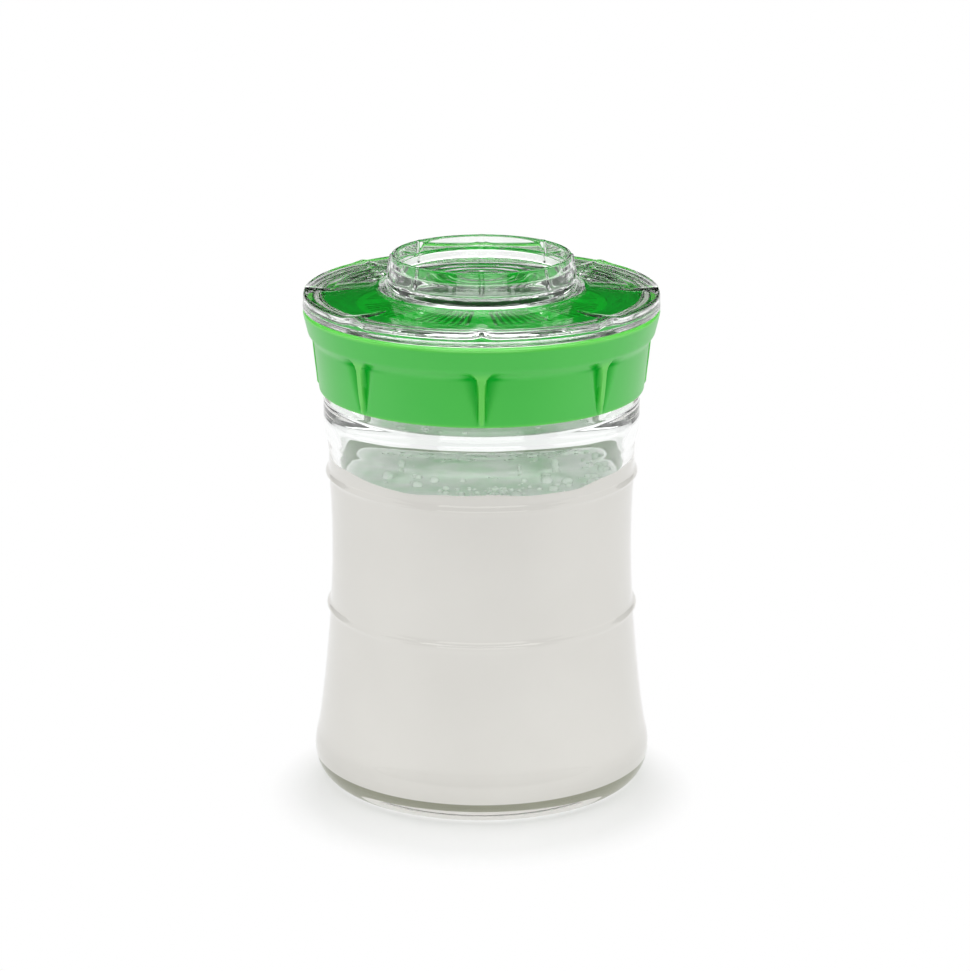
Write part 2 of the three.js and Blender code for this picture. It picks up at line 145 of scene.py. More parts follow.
def crowd_columns(bm, crowding):
    """Moves the columns of a spun mesh towards the middle of each fold."""
    for vert in bm.verts:
        radius = math.hypot(vert.co.x, vert.co.y)
        if radius > ON_AXIS:
            angle = math.atan2(vert.co.y, vert.co.x)
            angle -= crowding * math.sin(SECTORS * angle) / SECTORS
            vert.co.x = radius * math.cos(angle)
            vert.co.y = radius * math.sin(angle)


def reshape(bm, move):
    """Moves each vertex by what move gives for its radius, angle and height: out and up."""
    for vert in bm.verts:
        radius = math.hypot(vert.co.x, vert.co.y)
        if radius < ON_AXIS:
            continue
        angle = math.atan2(vert.co.y, vert.co.x)
        out, up = move(radius / MM, angle, vert.co.z / MM)
        scale = 1 + out * MM / radius
        vert.co = (vert.co.x * scale, vert.co.y * scale, vert.co.z + up * MM)


def from_fold(angle):
    """The angle from the middle of the nearest fold, never negative."""
    return abs((angle + SECTOR / 2) % SECTOR - SECTOR / 2)


def thread_height(angle, height, foot, lead_in, turns, width):
    """How far the thread stands out here, as a share of its depth."""
    crest = width / THREAD_TAPER
    most = 0.0
    share = (angle / (2 * math.pi)) % 1
    for whole in range(math.ceil(lead_in + turns) + 1):
        along = share + whole - lead_in
        if not 0 <= along <= turns:
            continue
        away = abs(height - foot - (share + whole) * THREAD_PITCH)
        flank = min(1.0, max(0.0, (width / 2 - away) / (width / 2 - crest / 2)))
        fade = min(1.0, min(along, turns - along) / THREAD_FADE)
        most = max(most, flank * fade)
    return most


def place(bm, name, materials, body, stands_for=()):
    """Makes the bmesh a piece that rides on a body."""
    for face in bm.faces:
        face.smooth = True
    mesh = bpy.data.meshes.new(name)
    bm.to_mesh(mesh)
    bm.free()
    mesh.set_sharp_from_angle(angle=SHARP_EDGE)
    for material in materials:
        mesh.materials.append(material)
    piece = bpy.data.objects.new(name, mesh)
    bpy.context.scene.collection.objects.link(piece)
    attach(piece, body)
    if stands_for:
        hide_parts(*stands_for)
    return piece


# Materials

# Most of a noise texture lies between these two values
NOISE_RANGE = (0.3, 0.7)

# Flow pattern and surface grain of all the moulded plastic, with the grain's height in millimetres
FLOW_SCALE = 35.0
GRAIN_SCALE = 2500.0
GRAIN_HEIGHT = 0.0005
GRAIN_DULLING = 0.04
SKIRT_DULLNESS = 0.3
# Sheen of the skirt, lowered where painted shade lies
SKIRT_SHINE = (0.9, 0.1)
MATT_DULLNESS = 0.6

# Roughness from the smoothest to the dullest place
CLEAR_ROUGHNESS = (0.0, 0.02)
SILICONE_ROUGHNESS = (0.5, 0.62)
KEFIR_ROUGHNESS = (0.6, 0.7)
WET_ROUGHNESS = (0.08, 0.2)


def new_material(name):
    """A new material with its node tree and its main shader."""
    material = bpy.data.materials.new(name)
    material.use_nodes = True
    tree = material.node_tree
    return material, tree, tree.nodes["Principled BSDF"]


def joined(tree, *pairs):
    """Links each output to its input."""
    for output, socket in pairs:
        tree.links.new(output, socket)


def object_noise(tree, scale, detail):
    """A noise texture on Object coordinates."""
    coordinates = tree.nodes.new("ShaderNodeTexCoord")
    noise = tree.nodes.new("ShaderNodeTexNoise")
    noise.inputs["Scale"].default_value = scale
    noise.inputs["Detail"].default_value = detail
    joined(tree, (coordinates.outputs["Object"], noise.inputs["Vector"]))
    return noise.outputs["Fac"]


def mapped(tree, value, source, target):
    """A value stretched from one range to another."""
    node = tree.nodes.new("ShaderNodeMapRange")
    node.inputs["From Min"].default_value, node.inputs["From Max"].default_value = source
    node.inputs["To Min"].default_value, node.inputs["To Max"].default_value = target
    joined(tree, (value, node.inputs["Value"]))
    return node.outputs["Result"]


def greater(tree, first, second):
    """The greater of two values."""
    node = tree.nodes.new("ShaderNodeMath")
    node.operation = "MAXIMUM"
    joined(tree, (first, node.inputs[0]), (second, node.inputs[1]))
    return node.outputs[0]


def ramped(tree, value, start, end):
    """A colour that runs between two stops, each a position and a colour."""
    node = tree.nodes.new("ShaderNodeValToRGB")
    for stop, (position, shade) in zip(node.color_ramp.elements, (start, end)):
        stop.position = position
        stop.color = (*shade, 1)
    joined(tree, (value, node.inputs["Fac"]))
    return node.outputs["Color"]


def two_colours(tree, noise, first, second):
    """A noise texture turned into a colour between two."""
    low, high = NOISE_RANGE
    return ramped(tree, noise, (low, first), (high, second))


def bumped(tree, value, height, shader):
    """Gives a shader a bump of that height in millimetres."""
    bump = tree.nodes.new("ShaderNodeBump")
    bump.inputs["Strength"].default_value = 1.0
    bump.inputs["Distance"].default_value = height * MM
    joined(
        tree,
        (value, bump.inputs["Height"]),
        (bump.outputs["Normal"], shader.inputs["Normal"]),
    )


def mixed(tree, share, first, second, output):
    """Sends a mix of two shaders to an output."""
    mix = tree.nodes.new("ShaderNodeMixShader")
    joined(
        tree,
        (share, mix.inputs["Fac"]),
        (first, mix.inputs[1]),
        (second, mix.inputs[2]),
        (mix.outputs["Shader"], output.inputs["Surface"]),
    )


def clear_material(name, tint, ior, wave_scale, wave_height):
    """Clear glass or plastic that lets lamps through to what is behind it."""
    material, tree, shader = new_material(name)
    shader.inputs["Base Color"].default_value = (*tint, 1)
    shader.inputs["IOR"].default_value = ior
    shader.inputs["Transmission Weight"].default_value = 1.0
    waves = object_noise(tree, wave_scale, detail=2.0)
    roughness = mapped(tree, waves, NOISE_RANGE, CLEAR_ROUGHNESS)
    joined(tree, (roughness, shader.inputs["Roughness"]))
    bumped(tree, waves, wave_height, shader)
    see_through = tree.nodes.new("ShaderNodeBsdfTransparent")
    see_through.inputs["Color"].default_value = (*tint, 1)
    path = tree.nodes.new("ShaderNodeLightPath")
    lamp_rays = greater(tree, path.outputs["Is Shadow Ray"], path.outputs["Is Diffuse Ray"])
    output = tree.nodes["Material Output"]
    mixed(tree, lamp_rays, shader.outputs["BSDF"], see_through.outputs["BSDF"], output)
    return material


def plastic_flow(tree, colour, shade):
    """The faint flow pattern of moulded plastic, as a colour."""
    flow = object_noise(tree, FLOW_SCALE, detail=3.0)
    return two_colours(tree, flow, shade, colour)


def plastic_grain(tree, shader, dullness):
    """Gives a shader the fine surface texture of moulded plastic."""
    grain = object_noise(tree, GRAIN_SCALE, detail=2.0)
    roughness = mapped(tree, grain, NOISE_RANGE, (dullness, dullness + GRAIN_DULLING))
    joined(tree, (roughness, shader.inputs["Roughness"]))
    bumped(tree, grain, GRAIN_HEIGHT, shader)


def matt_plastic(name, colour, shade):
    """Matt moulded plastic."""
    material, tree, shader = new_material(name)
    joined(tree, (plastic_flow(tree, colour, shade), shader.inputs["Base Color"]))
    shader.inputs["Specular IOR Level"].default_value = 0.0
    plastic_grain(tree, shader, MATT_DULLNESS)
    return material


def marked(tree, mark):
    """A mark that the mesh carries, as a value from 0 to 1."""
    node = tree.nodes.new("ShaderNodeAttribute")
    node.attribute_name = mark
    return node.outputs["Fac"]


def tinted(tree, base, tint, share):
    """A colour turned towards a tint by a share."""
    mix = tree.nodes.new("ShaderNodeMix")
    mix.data_type = "RGBA"
    mix.inputs["B"].default_value = (*tint, 1)
    joined(tree, (share, mix.inputs["Factor"]), (base, mix.inputs["A"]))
    return mix.outputs["Result"]


def skirt_plastic(name, settings):
    """Satin plastic of the ring's skirt, with painted highlight on ribs and edges, and painted shade
    with less sheen in hollows and under the band.
    """
    material, tree, shader = new_material(name)
    plain = plastic_flow(tree, settings.colour, settings.shade)
    # Painted highlight on ribs and edges
    lit = tinted(tree, plain, settings.light, marked(tree, PAINTED_HIGHLIGHT_MARK))
    # Painted shade in hollows and under the band, where the sheen is also taken away
    deep = marked(tree, PAINTED_SHADE_MARK)
    shine = mapped(tree, deep, (0.0, 1.0), SKIRT_SHINE)
    joined(
        tree,
        (tinted(tree, lit, settings.deep, deep), shader.inputs["Base Color"]),
        (shine, shader.inputs["Specular IOR Level"]),
    )
    plastic_grain(tree, shader, SKIRT_DULLNESS)
    return material


def clouded(tree, shader, clouds, colours, roughness):
    """Lets clouds vary a shader's colour and roughness."""
    joined(
        tree,
        (two_colours(tree, clouds, *colours), shader.inputs["Base Color"]),
        (mapped(tree, clouds, NOISE_RANGE, roughness), shader.inputs["Roughness"]),
    )


def soft_silicone(name, colour, shade):
    """Matt silicone rubber."""
    material, tree, shader = new_material(name)
    clouds = object_noise(tree, scale=120.0, detail=3.0)
    clouded(tree, shader, clouds, (shade, colour), SILICONE_ROUGHNESS)
    bumped(tree, clouds, 0.02, shader)
    return material


def kefir_body(name, colour, shade):
    """Thick white kefir seen through the glass, faintly cloudy."""
    material, tree, shader = new_material(name)
    clouds = object_noise(tree, scale=28.0, detail=4.0)
    clouded(tree, shader, clouds, (shade, colour), KEFIR_ROUGHNESS)
    shader.inputs["Specular IOR Level"].default_value = 0.1
    return material


def kefir_surface(name, colour, shade, depth):
    """The wet top of the kefir, with light that comes up through it from that depth."""
    material, tree, shader = new_material(name)
    clouds = object_noise(tree, scale=90.0, detail=4.0)
    clouded(tree, shader, clouds, (shade, colour), WET_ROUGHNESS)
    bumped(tree, clouds, 0.1, shader)
    shader.inputs["IOR"].default_value = 1.35
    if depth:
        shader.inputs["Subsurface Weight"].default_value = 1.0
        shader.inputs["Subsurface Radius"].default_value = (1.0, 1.0, 1.0)
        shader.inputs["Subsurface Scale"].default_value = depth
    return material


# Settings


def length(name, description, millimetres):
    """A property for a length."""
    return bpy.props.FloatProperty(
        name=name, description=description, default=millimetres * MM,
        unit="LENGTH", subtype="DISTANCE", precision=5,
    )


def count(name, description, number):
    """A property for a number of things."""
    return bpy.props.IntProperty(name=name, description=description, default=number, min=0)


def colour(name, description, rgb):
    """A property for a colour."""
    return bpy.props.FloatVectorProperty(
        name=name, description=description, default=rgb, size=3,
        min=0.0, max=1.0, subtype="COLOR",
    )


class JarSettings(bpy.types.PropertyGroup):
    """Sizes and colours of the glass jar"""

    floor: length("Floor", "Height of the inner floor at its middle", 2.7)
    bead: length("Bead", "How far the two thin beads stand out", 1.1)
    tint: colour("Tint", "Colour of the glass", (0.985, 0.995, 0.99))


class RingSettings(bpy.types.PropertyGroup):
    """Sizes and colours of the green screw ring and strainer"""

    rib: length("Rib", "Height of a rib", 0.5)
    hollow: length("Hollow", "Depth of the hollows beside a rib", 1.1)
    slot: length("Slot", "Width of a slot in the strainer", 1.1)
    colour: colour("Colour", "Lighter colour of the plastic", (0.03, 0.52, 0.035))
    shade: colour("Shade", "Darker colour of the plastic", (0.022, 0.50, 0.03))
    # Painted highlight on the ribs and on the ring's top and foot edges
    light: colour("Light", "Colour of the ribs and edges", (0.10, 0.62, 0.06))
    # Painted shade in the hollows beside the ribs and under the band
    deep: colour("Deep", "Colour of the hollows beside the ribs", (0.0, 0.40, 0.02))
    # The strainer and the deck under the cap are painted a deeper green than the ring: painted shade
    # under the cap
    matt_painted_shade: colour("Matt", "Lighter colour of the matt strainer", (0.002, 0.42, 0.02))
    matt_painted_shade_dark: colour("Matt shade", "Darker colour of the matt strainer", (0.001, 0.39, 0.017))
    deck_painted_shade: colour("Deck", "Lighter colour of the deck under the cap", (0.002, 0.33, 0.02))
    deck_painted_shade_dark: colour("Deck shade", "Darker colour of the deck", (0.001, 0.30, 0.017))


class CapSettings(bpy.types.PropertyGroup):
    """Sizes and colours of the clear cap"""

    pleat: length("Pleat", "Height of a pleat at the rim", 0.6)
    notch: length("Notch", "How far a pleat sets the rim back", 0.4)
    seam: length("Seam", "Height of the seams on the collar", 0.45)
    ripple: length("Ripple", "Depth of the rings in the collar's floor", 0.12)
    tint: colour("Tint", "Colour of the clear plastic", (0.985, 0.99, 0.985))


class KefirSettings(bpy.types.PropertyGroup):
    """Sizes and colours of the kefir"""

    level: length("Level", "Height of the kefir's surface", 99.5)
    meniscus: length("Meniscus", "How far the kefir climbs the glass", 3.2)
    film: length("Film", "How much further the kefir climbs at the sides", 2.0)
    bubbles: count("Bubbles", "Number of bubbles on the surface", 110)
    froth_bubbles: count("Froth bubbles", "Number of bubbles in the froth in front", 60)
    colour: colour("Colour", "Lighter colour of the kefir", (0.76, 0.735, 0.70))
    shade: colour("Shade", "Darker colour of the kefir", (0.73, 0.705, 0.67))
    # The kefir's underside over the glass foot is painted olive-grey: a painted shadow seen through
    # the foot
    foot: colour("Foot", "Lighter colour of the kefir over the glass foot", (0.34, 0.34, 0.26))
    foot_painted_shadow_dark: colour("Foot shade", "Darker colour of the kefir over the foot", (0.28, 0.28, 0.21))
    # The wet top is painted much lighter than the kefir's body, a painted light where the lid shades
    # it; its darker tone is green, a painted reflection of the green lid
    wet: colour("Wet", "Lighter colour of the kefir's wet top", (0.98, 1.0, 0.98))
    wet_painted_green_reflection: colour("Wet shade", "Darker colour of the kefir's wet top", (0.74, 0.88, 0.75))
    froth: colour("Froth", "Colour of the bubbles", (1.0, 1.0, 1.0))
    depth: length("Depth", "How deep light goes into the kefir's top", 50.0)


class SealSettings(bpy.types.PropertyGroup):
    """Colours of the two seals"""

    colour: colour("Colour", "Lighter colour of the silicone", (0.78, 0.79, 0.75))
    shade: colour("Shade", "Darker colour of the silicone", (0.7, 0.71, 0.67))


class StageSettings(bpy.types.PropertyGroup):
    """Camera and light"""

    distance: length("Distance", "How far the camera stands in front", 1047.2)
    height: length("Height", "Height of the camera", 403.3)
    pitch: bpy.props.FloatProperty(
        name="Pitch", description="How far the camera looks down",
        default=math.radians(16.5), subtype="ANGLE",
    )
    yaw: bpy.props.FloatProperty(
        name="Yaw", description="How far the camera looks to the right",
        default=math.radians(0.057), subtype="ANGLE",
    )
    lens: bpy.props.FloatProperty(
        name="Lens", description="Focal length of the camera", default=129.8,
        subtype="DISTANCE_CAMERA",
    )


class KefirJarSettings(bpy.types.PropertyGroup):
    """All settings of the kefir jar"""

    jar: bpy.props.PointerProperty(type=JarSettings, name="Jar", description="The jar")
    ring: bpy.props.PointerProperty(type=RingSettings, name="Ring", description="The ring")
    cap: bpy.props.PointerProperty(type=CapSettings, name="Cap", description="The cap")
    kefir: bpy.props.PointerProperty(type=KefirSettings, name="Kefir", description="The kefir")
    seals: bpy.props.PointerProperty(type=SealSettings, name="Seals", description="The seals")
    stage: bpy.props.PointerProperty(type=StageSettings, name="Stage", description="The stage")


# The glass jar

JAR_COLUMNS = 192
WALL_STEP = 0.5
NECK_STEP = 0.4
FOOT_STEP = 3.0
NECK_RADIUS = 46.2
NECK_BORE = 42.0
JAR_TOP = 146.0
THREADED_HEIGHTS = (129.0, 143.0)
BEAD_HEIGHTS = (55.9, 99.0)
BEAD_SPREAD = 0.85
JAR_FOOT = [(0, 1.5, 0), (36, 1.3, 4), (40.5, 1.0, 1.5), (42, 0, 1.5), (46.8, 0, 0)]
JAR_WALL = [
    (46.8, 0), (49.13, 0.69), (51.11, 2.64), (52.44, 5.56), (52.9, 9), (52.55, 12.5),
    (51.6, 17), (50.47, 24.95), (49.41, 34.1), (48.45, 44), (47.75, 52), (47.4, 58),
    (47.0, 67.3), (46.85, 77.5), (47.0, 87.6), (47.4, 96), (47.5, 102), (47.6, 106),
    (48.0, 109.2), (48.7, 112), (49, 115), (49, 119), (49, 121.4),
]
JAR_NECK = [
    (49, 121.4, 0), (49, 122.8, 1.3), (NECK_RADIUS, 124.6, 0.8), (NECK_RADIUS, JAR_TOP, 1.6),
    (NECK_BORE, JAR_TOP, 1.6), (NECK_BORE, 126.5, 0),
]
JAR_INSIDE = [
    (NECK_BORE, 126.5), (42.6, 123.8), (44.0, 120.5), (45.0, 117.5), (45.3, 115), (45.0, 112),
    (44.2, 108), (43.9, 103), (43.8, 99), (43.35, 86), (43.3, 77.5), (43.4, 68), (44.0, 56),
    (45.08, 42.4), (46.3, 30.6), (47.7, 20.7), (48.9, 14.6), (49.1, 11.8), (48.4, 8.4),
    (46.25, 5.4), (43.4, 4.1), (40.5, 3.5), (34, 3.3),
]
INSIDE_LINE = smooth_line(JAR_INSIDE, steps=4)


def beaded(points, proud):
    """The jar's wall with its beads raised."""
    wall = []
    for point in points:
        out = sum(
            proud * math.exp(-(((point.y - z) / BEAD_SPREAD) ** 2)) for z in BEAD_HEIGHTS
        )
        wall.append(Vector((point.x + out, point.y)))
    return wall


def jar_thread(radius, angle, height):
    """The move that raises the thread on the jar's neck."""
    low, high = THREADED_HEIGHTS
    if abs(radius - NECK_RADIUS) > ON_FACE or not low < height < high:
        return 0, 0
    return THREAD_DEPTH * thread_height(angle, height, **JAR_THREAD), 0


class KEFIR_OT_jar(bpy.types.Operator):
    """Builds the waisted glass jar with its beads, thick foot and threaded neck"""

    bl_idname = "kefir_jar.jar"
    bl_label = "Build the glass jar"

    def execute(self, context):
        settings = context.scene.kefir_jar.jar
        foot = stepped(rounded(JAR_FOOT), FOOT_STEP)
        wall = stepped(smooth_line(JAR_WALL, steps=6), WALL_STEP)
        neck = stepped(rounded(JAR_NECK), NECK_STEP)
        middle = Vector((0, settings.floor / MM))
        outline = foot[:-1] + beaded(wall, settings.bead / MM) + neck[1:-1] + INSIDE_LINE + [middle]
        bm = spun(outline, JAR_COLUMNS)
        reshape(bm, jar_thread)
        glass = clear_material(
            "jar_glass", settings.tint, ior=1.5, wave_scale=45.0, wave_height=0.05
        )
        place(bm, "jar_of_glass", [glass], "jar", ["glass_jar"])
        return {"FINISHED"}


# The screw ring

RING_COLUMNS = SECTORS * 40
RING_CROWDING = 0.6
RING_STEP = 0.5
RING_FOOT = 125.5
RING_BORE = 48.2
BAND_FOOT = 141.1
SKIRT_INNER = 49.5
DECK_FOOT = 146.0
DECK_OUTER = 52.5
DECK_EDGE = 52.9
RING_OUTLINE = [
    (RING_BORE, 137, 0), (RING_BORE, RING_FOOT, 0.4), (50.2, RING_FOOT, 0.7),
    (51.8, BAND_FOOT, 2.5), (53.5, 143.5, 2.4), (55.2, 150.7, 1.3), (52.2, 150.7, 0.3),
    (52.2, 146.7, 0.3), (49.4, 146.7, 0.3), (49.4, 150.3, 0.3), (43.5, 150.3, 2.0),
    (39.0, 149.6, 0), (39.0, 149.5, 0), (40.6, 149.5, 0.1), (40.6, 148.3, 0.2),
    (RING_BORE, 148.3, 0.4), (RING_BORE, 137.4, 0),
]

# Ribs and hollows: widths in millimetres, spans as shares of the height from foot to band,
# and edges as shares of a rib's half width
RIB_HALF = 0.7
RIB_WIDENING = 0.65
RIB_FLARE = 1.6
RIB_START = (0.02, 0.1)
RIB_FLARING = (0.85, 1.12)
RIB_END = (0.98, 1.14)
RIB_EDGE = (0.75, 1.2)
HOLLOW_EDGE = (0.9, 1.3)
HOLLOW_REACH = 0.4
HOLLOW_WIDENING = 4.2

# Marks for the plastic: painted highlight on ribs and edges, painted shade in hollows and a painted
# shadow line under the band
PAINTED_HIGHLIGHT_MARK = "painted_highlight_plastic"
PAINTED_SHADE_MARK = "painted_shade_plastic"
HIGHLIGHT_TOP_EDGE = (149.2, 150.2)
HIGHLIGHT_FOOT_EDGE = (125.6, 126.4)
PAINTED_SHADOW_LINE_HEIGHT = BAND_FOOT - 0.4
PAINTED_SHADOW_LINE_SPREAD = 0.5
PAINTED_SHADOW_LINE_DEPTH = 0.7
PAINTED_SHADOW_LINE_FADE = (2.0, 13.0)


def skirt_place(radius, angle, height):
    """Shares of rib and of hollow at a place on the ring's outside."""
    if height > DECK_FOOT and radius < DECK_EDGE:
        return 0.0, 0.0
    across = from_fold(angle) * radius
    share = (height - RING_FOOT) / (BAND_FOOT - RING_FOOT)
    below = min(1.0, max(0.0, share))
    fade = 1 - smoothstep(*RIB_END, share)
    half = RIB_HALF + RIB_WIDENING * below + RIB_FLARE * smoothstep(*RIB_FLARING, share) ** 2
    beside_rib = smoothstep(RIB_EDGE[0] * half, RIB_EDGE[1] * half, across)
    rib = fade * smoothstep(*RIB_START, share) * (1 - beside_rib)
    bottom = HOLLOW_EDGE[1] * half
    reach = HOLLOW_REACH + HOLLOW_WIDENING * below
    in_hollow = smoothstep(HOLLOW_EDGE[0] * half, bottom, across)
    beside_hollow = smoothstep(bottom, bottom + reach, across)
    hollow = fade * math.sqrt(below) * in_hollow * (1 - beside_hollow)
    return rib, hollow


def ring_skirt(settings):
    """The move that gives the ring its thread, its ribs and the hollows beside them."""
    rib_height = settings.rib / MM
    hollow_depth = settings.hollow / MM

    def move(radius, angle, height):
        if abs(radius - RING_BORE) < ON_FACE:
            return -THREAD_DEPTH * thread_height(angle, height, **RING_THREAD), 0
        if radius < SKIRT_INNER:
            return 0, 0
        rib, hollow = skirt_place(radius, angle, height)
        return rib_height * rib - hollow_depth * hollow, 0

    return move


def paint_skirt_highlight_and_shade(bm):
    """Marks where the ring's plastic gets painted highlight, on ribs and edges, and painted shade,
    in hollows and in a shadow line under the band.
    """
    light = bm.verts.layers.float.new(PAINTED_HIGHLIGHT_MARK)
    deep = bm.verts.layers.float.new(PAINTED_SHADE_MARK)
    for vert in bm.verts:
        radius = math.hypot(vert.co.x, vert.co.y) / MM
        height = vert.co.z / MM
        if radius < SKIRT_INNER:
            continue
        angle = math.atan2(vert.co.y, vert.co.x)
        rib, hollow = skirt_place(radius, angle, height)
        # Painted highlight along the ring's top and foot edges
        edges = smoothstep(*HIGHLIGHT_TOP_EDGE, height) + 1 - smoothstep(*HIGHLIGHT_FOOT_EDGE, height)
        # Painted shadow line under the band, fading away from each rib
        line = math.exp(-(((height - PAINTED_SHADOW_LINE_HEIGHT) / PAINTED_SHADOW_LINE_SPREAD) ** 2))
        line *= 1 - smoothstep(*PAINTED_SHADOW_LINE_FADE, from_fold(angle) * radius)
        vert[light] = max(rib, edges)
        vert[deep] = min(1.0, hollow + PAINTED_SHADOW_LINE_DEPTH * line * (1 - rib))


class KEFIR_OT_ring(bpy.types.Operator):
    """Builds the green screw ring with its ribbed skirt, proud band and inside thread"""

    bl_idname = "kefir_jar.ring"
    bl_label = "Build the screw ring"

    def execute(self, context):
        settings = context.scene.kefir_jar.ring
        bm = spun(stepped(rounded(RING_OUTLINE), RING_STEP), RING_COLUMNS, closed=True)
        crowd_columns(bm, RING_CROWDING)
        paint_skirt_highlight_and_shade(bm)
        reshape(bm, ring_skirt(settings))
        # The deck's faces under the cap get the darker matt plastic, a painted shade
        for face in bm.faces:
            middle = face.calc_center_median() / MM
            inner = math.hypot(middle.x, middle.y) < DECK_OUTER
            face.material_index = int(middle.z > DECK_FOOT and inner)
        plastic = skirt_plastic("ring_plastic", settings)
        matt_painted_shade = matt_plastic("deck_plastic_painted_shade", settings.deck_painted_shade, settings.deck_painted_shade_dark)
        place(bm, "ring_of_lid", [plastic, matt_painted_shade], "ring", ["screw_ring"])
        return {"FINISHED"}


# The strainer

SLOTS = 8
SLOT_PITCH = math.radians(4.2)
SLOT_ROWS = (20.0, 36.3)
GAP_COLUMNS = (-0.07, 0.0, 0.07)
STRAINER_TOP = 149.4
STRAINER_RISE = 2.4
STRAINER_CONE = (7.0, 37.3)
STRAINER_RADII = [0, 4, 7, 11, 15.5, 20, 25, 30, 33.5, 36.3, 37.3, 38.8, 40.1]
STRAINER_THICKNESS = 3.6
STRAINER_CORNER = math.radians(50)
STRAINER_BEVEL = 0.15
HUB = [(0, 150.4, 0), (7, 150.4, 0), (7, 153.0, 0), (6.4, 153.8, 0.7), (2, 153.8, 0), (0, 153.8, 0)]
HUB_COLUMNS = 64


def strainer_height(radius):
    """Height of the strainer's upper face."""
    inner, outer = STRAINER_CONE
    share = (outer - radius) / (outer - inner)
    return STRAINER_TOP + STRAINER_RISE * min(1.0, max(0.0, share))


def strainer_columns():
    """Each column's angle and side: the angle of its middle, and the side of its slot."""
    columns = []
    for sector in range(SECTORS):
        start = sector * SECTOR
        columns += [(start + gap, 0) for gap in GAP_COLUMNS]
        for slot in range(SLOTS):
            middle = start + SECTOR / 2 + (slot - (SLOTS - 1) / 2) * SLOT_PITCH
            columns += [(middle, -1), (middle, 1)]
    columns.append((2 * math.pi + GAP_COLUMNS[0], 0))
    return columns


def strainer_cone(slot_width):
    """A bmesh of the strainer's upper face, open at its slots."""
    columns = strainer_columns()
    across = len(columns) - 1
    along = len(STRAINER_RADII) - 1
    bm = bmesh.new()
    bmesh.ops.create_grid(bm, x_segments=across, y_segments=along, size=1)
    grid = {v: (round((v.co.x + 1) / 2 * across), round((v.co.y + 1) / 2 * along)) for v in bm.verts}
    holes = []
    for face in bm.faces:
        column = min(grid[v][0] for v in face.verts)
        radius = STRAINER_RADII[min(grid[v][1] for v in face.verts)]
        if columns[column][1] == -1 and SLOT_ROWS[0] <= radius < SLOT_ROWS[1]:
            holes.append(face)
    for vert, (column, row) in grid.items():
        radius = STRAINER_RADII[row]
        angle, side = columns[column]
        angle += side * math.asin(slot_width / 2 / max(radius, SLOT_ROWS[0]))
        height = strainer_height(radius)
        vert.co = (radius * math.cos(angle) * MM, radius * math.sin(angle) * MM, height * MM)
    bmesh.ops.delete(bm, geom=holes, context="FACES")
    bmesh.ops.remove_doubles(bm, verts=bm.verts, dist=SAME_PLACE)
    bmesh.ops.recalc_face_normals(bm, faces=bm.faces)
    if sum(face.normal.z for face in bm.faces) < 0:
        bmesh.ops.reverse_faces(bm, faces=bm.faces)
    return bm


def add_hub(bm):
    """Adds the hub that the strainer is held by."""
    hub = spun(rounded(HUB), HUB_COLUMNS)
    mesh = bpy.data.meshes.new("hub")
    hub.to_mesh(mesh)
    hub.free()
    bm.from_mesh(mesh)
    bpy.data.meshes.remove(mesh)


class KEFIR_OT_strainer(bpy.types.Operator):
    """Builds the green strainer: a shallow slotted cone with a hub to hold it by"""

    bl_idname = "kefir_jar.strainer"
    bl_label = "Build the strainer"

    def execute(self, context):
        settings = context.scene.kefir_jar.ring
        bm = strainer_cone(settings.slot / MM)
        bmesh.ops.solidify(bm, geom=bm.faces[:], thickness=STRAINER_THICKNESS * MM)
        corners = [e for e in bm.edges if len(e.link_faces) == 2
                   and e.calc_face_angle() > STRAINER_CORNER]
        bmesh.ops.bevel(
            bm, geom=corners, offset=STRAINER_BEVEL * MM, offset_type="OFFSET", segments=2,
            profile=0.5, affect="EDGES", material=-1,
        )
        add_hub(bm)
        # The strainer's deeper green is painted shade under the cap
        plastic = matt_plastic("strainer_plastic_painted_shade", settings.matt_painted_shade, settings.matt_painted_shade_dark)
        place(bm, "strainer_of_lid", [plastic], "strainer", ["strainer"])
        return {"FINISHED"}


# The clear cap

CAP_COLUMNS = SECTORS * 32
CAP_CROWDING = 0.5
CAP_STEP = 0.6
CAP_OUTLINE = [
    (0, 157.0, 0), (24.5, 157.0, 1.0), (31.3, 154.8, 2.5), (46.0, 153.1, 3.0), (49.7, 153.0, 0.8),
    (49.7, 148.9, 0.4), (51.9, 148.9, 0.4), (51.9, 152.5, 0.2), (53.6, 152.5, 0.3),
    (54.9, 151.2, 0.3), (55.0, 151.6, 0.4), (55.0, 152.4, 0.3), (54.9, 152.9, 0.2),
    (54.9, 156.2, 1.0), (51.0, 156.0, 0.3), (45.5, 156.0, 3.0), (31.3, 157.0, 3.0),
    (29.1, 160.0, 2.5), (27.7, 167.2, 0.5), (26.4, 167.2, 0.5), (26.5, 163.4, 0.3),
    (25.0, 163.0, 0.3), (26.8, 159.5, 0.2), (26.0, 159.0, 0.3), (25.2, 159.3, 0.3),
    (0, 159.3, 0),
]

# Rings in the collar's floor
FLOOR_RADIUS = 25.0
FLOOR_UNDERSIDE = 158.5
RIPPLE_PITCH = 4.0
RIPPLE_END = (19.0, 21.5)

# Seams on the collar's outside, which leans in from its radius at its base
COLLAR_OUTER = 30.0
COLLAR_RADIUS = 28.6
COLLAR_BASE = 159.6
COLLAR_LEAN = 0.197
SEAM_START = (160.2, 161.2)
SEAM_SPREAD = 0.7

